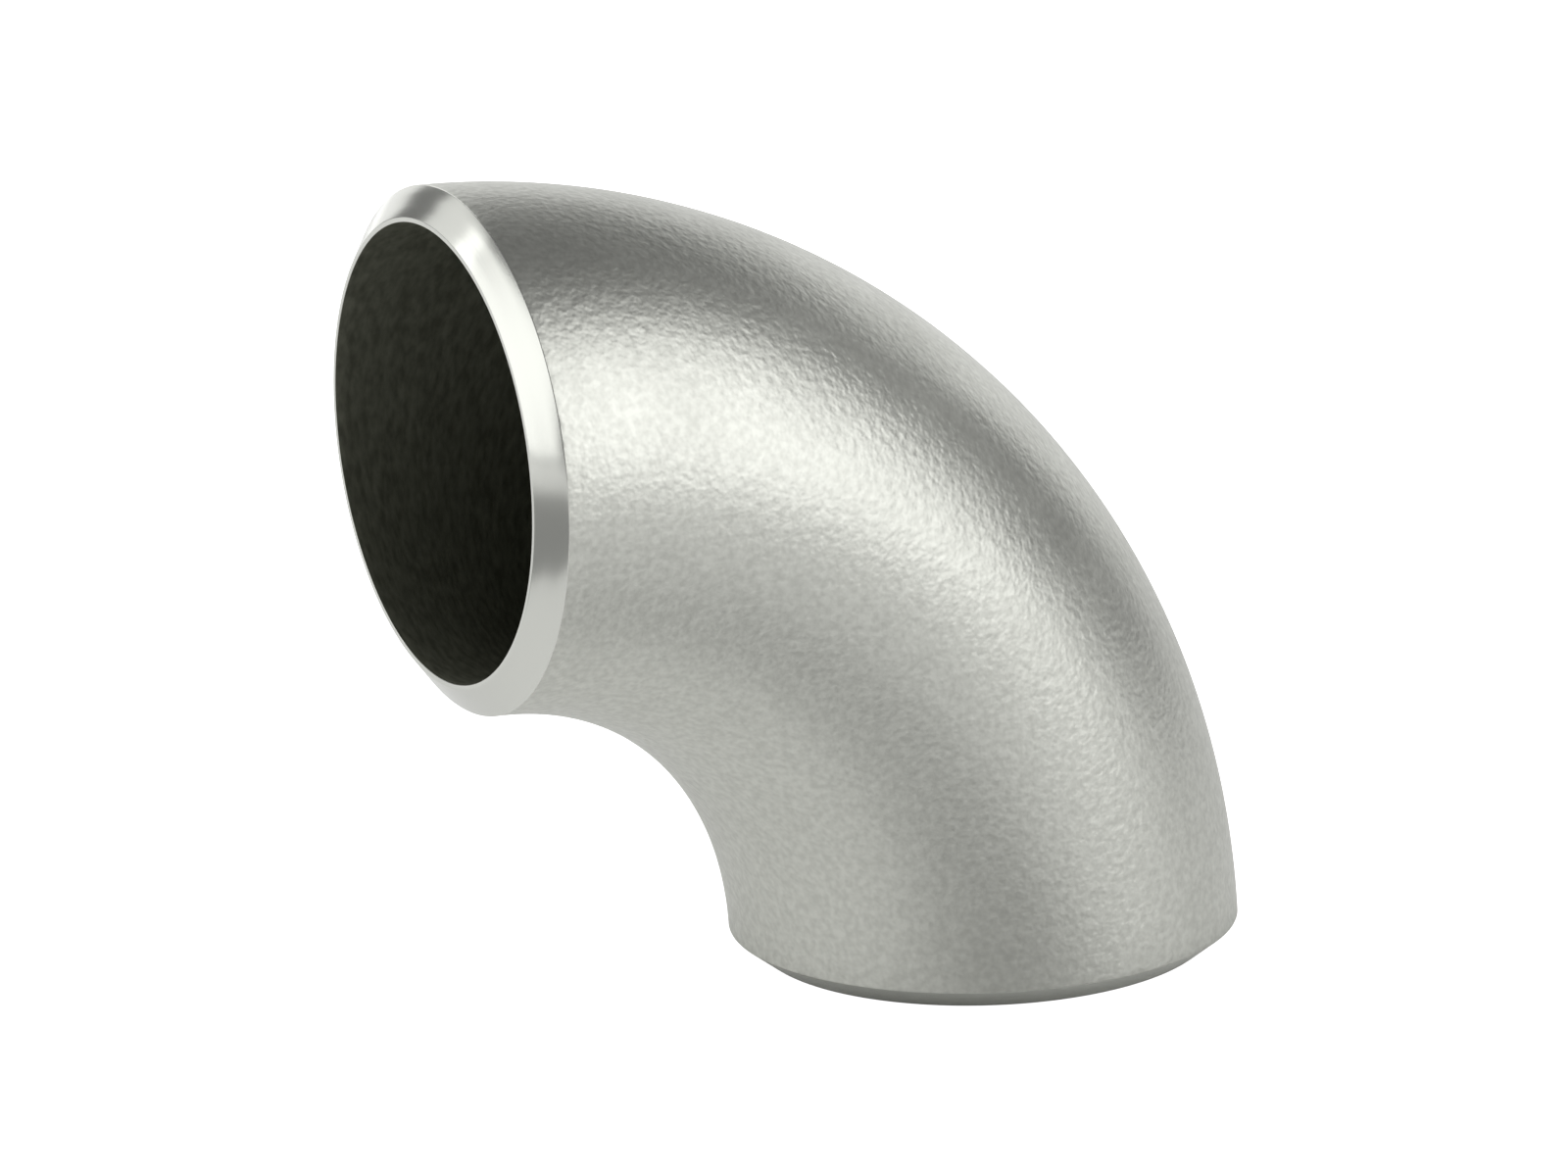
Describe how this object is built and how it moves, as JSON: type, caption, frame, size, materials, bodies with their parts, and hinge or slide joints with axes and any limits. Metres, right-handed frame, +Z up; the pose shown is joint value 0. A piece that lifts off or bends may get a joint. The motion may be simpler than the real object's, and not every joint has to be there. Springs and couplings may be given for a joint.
{
  "type": "pipe elbow",
  "caption": "Right-angle long-radius pipe elbow in stainless steel, with square bevelled ends for butt welding.",
  "frame": {"origin": "on the floor that the lower end face stands on, under the middle of the elbow's bounding box", "axes": "+Z up, out of the lower end face into the elbow; the upper end opens towards -X; the bend lies in the XZ plane, so Y runs across it"},
  "size_m": [0.069, 0.0422, 0.069],
  "materials": {
    "steel": "blasted and pickled matte skin, bright machined welding bevels, dark scaled bore"
  },
  "bodies": {
    "root": {"elbow_body": "steel"}
  },
  "joints": []
}
